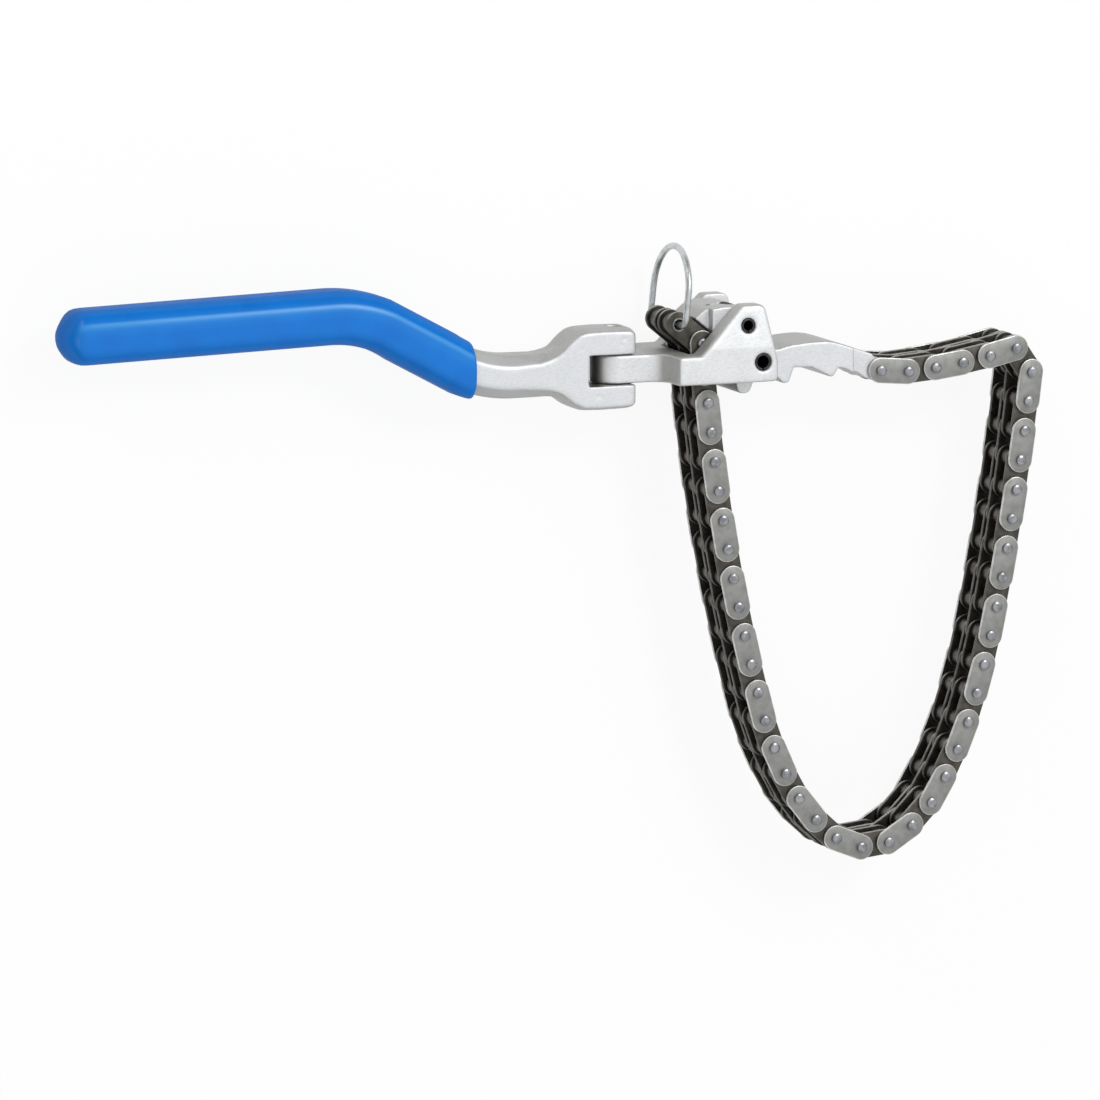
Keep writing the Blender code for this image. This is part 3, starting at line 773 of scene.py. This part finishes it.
def makeSpring():
    size = springSizes
    count = round(size["turns"] * size["perTurn"])
    half = size["turns"] * size["rise"] / 2
    points = [(pawlAxis[0] + size["radius"], size["foot"], -half)]
    for step in range(count + 1):
        turn = math.tau * size["turns"] * step / count
        points.append((pawlAxis[0] + size["radius"] * math.cos(turn),
                       pawlAxis[1] + size["radius"] * math.sin(turn), 2 * half * step / count - half))
    points.append((size["legEnd"], pawlAxis[1] + size["radius"], half))
    coil = bentWire(points, size["wire"], size["sides"])
    dress(coil, "pawlCoil", "pawl", "spring_steel", ["pawl_spring"], springSteel)


makeJaw()
makePawl()
makeSpring()
print("jaw, pawl and spring made")


# chain

chainSizes = dict(links=44, pitch=9.525, plateRadius=4.09, plateSides=28, rim=0.27, rimSteps=2,
                  innerPlate=1.3, outerPlate=1.0, gap=0.3, strand=5.12, rollerWidth=5.72, rollerRadius=3.175,
                  rollerPlay=0.12, rollerRim=0.18, roundSides=22, rimRise=0.6,
                  pinRadius=1.64, pinHalf=11.9, domeRise=0.25, domeRim=0.42, crownRim=0.36, crownRise=0.07,
                  crownShift=0.16, crownTurn=2.4, bushOuter=2.16, bushInner=1.72, bushOver=0.12, bushSides=24,
                  sharp=34)  # degrees
chainFinish = dict(outer=0, inner=1, pin=2, roller=3, oiled=4, edge=5, rim=6)  # the order of the materials
aslant = Vector((1.0, 0.7324, 0.3517))  # a link's points are put in order along this


def linkObject(work):
    # extruding and bevelling number their parts by chance, so points and faces are put in order by place
    link = asObject("link", work)
    verts = sorted(link.data.vertices, key=lambda vert: vert.co.dot(aslant))
    order = {vert.index: index for index, vert in enumerate(verts)}
    faces = []
    for face in link.data.polygons:
        around = [order[index] for index in face.vertices]
        first = around.index(min(around))
        faces.append((around[first:] + around[:first], face.material_index))
    faces.sort()
    mesh = bpy.data.meshes.new("link")
    mesh.from_pydata([vert.co for vert in verts], [], [around for around, _ in faces])
    mesh.polygons.foreach_set("material_index", [finish for _, finish in faces])
    link.data = mesh
    return link


def plate(work, low, high, under, edge, over):
    # under, edge and over name the finishes of the face at low, the rim and the face at high
    size = chainSizes
    count = size["plateSides"]
    before = set(work.faces)
    turned = Matrix.Rotation(math.pi / count, 4, "Z")
    ring = bmesh.ops.create_circle(work, cap_ends=True, segments=count, radius=size["plateRadius"],
                                   matrix=turned)["verts"]
    for vert in ring:
        vert.co.z = low
        if vert.co.x > 0:
            vert.co.x += size["pitch"]
    top = raised(work, ring[0].link_faces[0], (0, 0, high - low))
    lines = dict.fromkeys(line for vert in ring + top for line in vert.link_edges)  # each once, in order
    rims = [line for line in lines if line.verts[0].co.z == line.verts[1].co.z]
    bmesh.ops.bevel(work, geom=rims, offset=size["rim"], segments=size["rimSteps"], profile=0.5,
                    affect="EDGES", material=-1)
    for face in set(work.faces) - before:
        height = face.calc_center_median().z
        finish = under if abs(height - low) < weld else (over if abs(height - high) < weld else edge)
        face.material_index = chainFinish[finish]


def drum(work, x, radius, low, high, finish, rim):
    # a round bar whose ends rise from a rim; gives the faces of its ends
    size = chainSizes
    middle = Matrix.Translation((x, 0, (low + high) / 2))
    made = bmesh.ops.create_cone(work, cap_ends=True, segments=size["roundSides"], radius1=radius,
                                 radius2=radius, depth=high - low, matrix=middle)
    faces = dict.fromkeys(face for vert in made["verts"] for face in vert.link_faces)  # each once, in order
    for face in faces:
        face.material_index = chainFinish[finish]
    caps = [face for face in faces if len(face.verts) > 4]
    for cap in caps:
        bmesh.ops.inset_region(work, faces=[cap], thickness=rim, depth=0.0)
        bmesh.ops.translate(work, verts=cap.verts, vec=cap.normal * rim * size["rimRise"])
    return caps


def rivet(work, x, index):
    # a pin with domed ends, whose crowns lie a little off its middle
    size = chainSizes
    half = size["pinHalf"] - size["domeRise"]
    turn = size["crownTurn"] * index + x
    shift = Vector((size["crownShift"] * math.cos(turn), size["crownShift"] * math.sin(turn), 0))
    for cap in drum(work, x, size["pinRadius"], -half, half, "pin", size["domeRim"]):
        bmesh.ops.inset_region(work, faces=[cap], thickness=size["crownRim"], depth=0.0)
        bmesh.ops.translate(work, verts=cap.verts, vec=shift + cap.normal * size["crownRise"])


def outerLink(index):
    size = chainSizes
    work = bmesh.new()
    near = size["strand"] + size["rollerWidth"] / 2 + size["innerPlate"] + size["gap"]
    middle = size["strand"] - size["rollerWidth"] / 2 - size["innerPlate"] - size["gap"]
    outwardFinish = "inner" if index == size["links"] - 1 else "outer"  # painted shade: the last link's outward plates take the darker inner finish, where the pawl shades them
    # faces turned into the chain get painted shade
    plate(work, near, near + size["outerPlate"], "oiled", "edge", outwardFinish)
    plate(work, -near - size["outerPlate"], -near, outwardFinish, "edge", "oiled")
    plate(work, -middle, middle, "oiled", "rim", "oiled")
    rivet(work, 0.0, index)
    rivet(work, size["pitch"], index)
    return work


def innerLink():
    size = chainSizes
    work = bmesh.new()
    inner = size["strand"] - size["rollerWidth"] / 2
    outer = size["strand"] + size["rollerWidth"] / 2
    # faces turned into the chain get painted shade
    plates = ((inner - size["innerPlate"], inner, "oiled"), (outer, outer + size["innerPlate"], "inner"))
    for side in (-1, 1):
        for low, high, far in plates:
            if side > 0:
                plate(work, low, high, "oiled", "rim", far)
            else:
                plate(work, -high, -low, far, "rim", "oiled")
        ends = sorted((side * (inner + size["rollerPlay"]), side * (outer - size["rollerPlay"])))
        for x in (0.0, size["pitch"]):
            drum(work, x, size["rollerRadius"], *ends, "roller", size["rollerRim"])
    return work


def tailLink():
    # the last inner link, whose free bushes stay open for the ring
    size = chainSizes
    body = linkObject(innerLink())
    carve(body, [post((size["pitch"], 0), size["bushOuter"])])
    work = bmesh.new()
    work.from_mesh(body.data)
    bpy.data.objects.remove(body)
    start = size["strand"] - size["rollerWidth"] / 2 - size["innerPlate"]
    end = size["strand"] + size["rollerWidth"] / 2 + size["innerPlate"] + size["bushOver"]
    profile = [(size["bushInner"], start), (size["bushOuter"], start), (size["bushOuter"], end),
               (size["bushInner"], end)]
    for side in (-1, 1):
        verts = [work.verts.new((size["pitch"] + x, 0, side * z)) for x, z in profile]
        edges = [work.edges.new((a, b)) for a, b in zip(verts, verts[1:] + verts[:1])]
        turned = bmesh.ops.spin(work, geom=verts + edges, cent=(size["pitch"], 0, 0), axis=(0, 0, 1),
                                angle=math.tau, steps=size["bushSides"], use_merge=True)
        for part in turned["geom_last"]:
            if isinstance(part, bmesh.types.BMVert):
                for face in part.link_faces:
                    face.material_index = chainFinish["edge"]
    return work


def makeChain():
    size = chainSizes
    count = size["links"]
    ends = [jointAt[f"chain_joint_{index:02d}"] for index in range(1, count + 1)] + [jointAt["ring_swing"]]
    finishes = (outerSteel, innerSteel, pinSteel, rollerSteel, paintedShadeSteel, edgeSteel, rimSteel)
    for index in range(1, count + 1):
        start, end = ends[index - 1], ends[index]
        if index == count:
            link = linkObject(tailLink())
        else:
            link = linkObject(outerLink(index) if index % 2 else innerLink())
        heading = math.atan2(end.y - start.y, end.x - start.x)
        offset = (start - swivelAt) / mm
        link.data.transform(Matrix.Translation(offset) @ Matrix.Rotation(heading, 4, "Z"))
        node = f"chain_link_{index:02d}"
        dress(link, f"chainLink{index:02d}", node, "plate_steel", [node], *finishes)
        link.data.set_sharp_from_angle(angle=math.radians(size["sharp"]))


ringSizes = dict(wire=1.05, sides=20, halfWidth=14.5, leg=9.33, hook=2.6, inset=6.2, step=5.0, lean=6.0)


def makeRing():
    size = ringSizes
    at = (jointAt["ring_swing"] - swivelAt) / mm
    corner = (size["halfWidth"] - size["hook"], size["hook"])
    half = [(size["inset"], 0.0), *arcPoints(corner, size["hook"], -90, 0)]
    half += arcPoints((0, size["leg"]), size["halfWidth"], 0, 90, size["step"])
    loop = half + [(-z, y) for z, y in reversed(half[:-1])]
    lean = math.radians(size["lean"])
    points = [(at.x + y * math.sin(lean), at.y + y * math.cos(lean), z) for z, y in loop]
    wire = bentWire(points, size["wire"], size["sides"])
    dress(wire, "pullRing", "ring", "zinc_wire", ["ring"], zincWire)


makeChain()
makeRing()
print("chain and ring made")


# floor, light and camera

white = (1.0, 1.0, 1.0, 1.0)
stageSizes = dict(floorHalf=3.0, paper=(0.96, 0.96, 0.96, 1.0), shade=(0.4, 0.4, 0.4, 1.0), rough=0.9,
                  glow=0.9)
skySizes = dict(front=(0.2, -0.12, 0.97), dim=0.2, bright=0.88, start=0.0, full=0.9)
lamps = (
    dict(name="topBox", toward=(0.36, 0.53, 0.745), distance=1.3, size=0.45, power=4.8),
    dict(name="sideBox", toward=(-0.55, 0.76, 0.35), distance=1.3, size=0.5, power=1.8),
    dict(name="leftBox", toward=(-0.84, -0.1, 0.53), distance=1.3, size=0.5, power=0.8),
)


def makeFloor():
    # pale paper that stays white to the eye and in reflections, and keeps a faint shadow
    size = stageSizes
    work = bmesh.new()
    bmesh.ops.create_grid(work, x_segments=1, y_segments=1, size=size["floorHalf"])
    floor = asObject("floor", work)
    paper = Finish("floorPaper", Roughness=size["rough"])
    kinds = ("Camera", "Glossy", "Transmission")
    rays = [paper.node("ShaderNodeLightPath", output=f"Is {kind} Ray") for kind in kinds]
    seen = paper.ramp(rays[0] + rays[1] + rays[2], 0.0, 1.0)
    paper.set("Base_Color", paper.mixed(seen, size["shade"], size["paper"]))
    glow = paper.node("ShaderNodeEmission", None, {"Color": white, "Strength": 1.0})
    matte = Sock(paper, paper.shader.outputs[0])
    both = paper.node("ShaderNodeMixShader", None, {0: seen * size["glow"], 1: matte, 2: glow})
    paper.feed(paper.tree.nodes["Material Output"].inputs["Surface"], both)
    floor.data.materials.append(paper.material)


def makeSky():
    # soft light that is brightest in front of the tool and falls off to the sides
    size = skySizes
    world = bpy.data.worlds.new("studio")
    sky = Wiring(world)
    toward = sky.node("ShaderNodeTexCoord", output="Generated")
    front = sky.node("ShaderNodeVectorMath", {"operation": "DOT_PRODUCT"}, {0: toward, 1: size["front"]},
                     output="Value")
    level = size["dim"] + (size["bright"] - size["dim"]) * sky.ramp(front, size["start"], size["full"])
    light = sky.tree.nodes["Background"].inputs
    sky.feed(light["Color"], white)
    sky.feed(light["Strength"], level)
    bpy.context.scene.world = world


def makeLamps():
    aim = (cadBox[0] + cadBox[1]) / 2
    for lamp in lamps:
        data = bpy.data.lights.new(lamp["name"], "AREA")
        data.shape = "DISK"
        data.size = lamp["size"]
        data.energy = lamp["power"]
        made = bpy.data.objects.new(lamp["name"], data)
        toward = Vector(lamp["toward"]).normalized()
        made.location = aim + toward * lamp["distance"]
        made.rotation_euler = toward.to_track_quat("Z", "Y").to_euler()
        bpy.context.scene.collection.objects.link(made)


# aim in mm from the swivel axis, distance and reach in m, focal length in the photo's pixels
cameraSizes = dict(azimuth=-21.3, rise=9.0, aim=(-21.2, -57.0, 0.0), distance=2.513,
                   focal=8000.0, image=1100.0, sensor=36.0, reach=20.0)


def makeCamera():
    size = cameraSizes
    azimuth, rise = math.radians(size["azimuth"]), math.radians(size["rise"])
    back = Vector((math.sin(azimuth) * math.cos(rise), math.sin(rise), math.cos(azimuth) * math.cos(rise)))
    right = Vector((math.cos(azimuth), 0.0, -math.sin(azimuth)))
    up = back.cross(right)
    data = bpy.data.cameras.new("photoView")
    data.sensor_width = size["sensor"]
    data.lens = data.sensor_width * size["focal"] / size["image"]
    data.clip_end = size["reach"]
    camera = bpy.data.objects.new("photoView", data)
    turn = Matrix((right, up, back)).transposed().to_4x4()
    camera.matrix_world = Matrix.Translation(toRow @ Vector(size["aim"]) + back * size["distance"]) @ turn
    bpy.context.scene.collection.objects.link(camera)
    bpy.context.scene.camera = camera


makeFloor()
makeSky()
makeLamps()
makeCamera()
bpy.context.scene.view_settings.view_transform = "Standard"
print("stage, lamps and camera made")
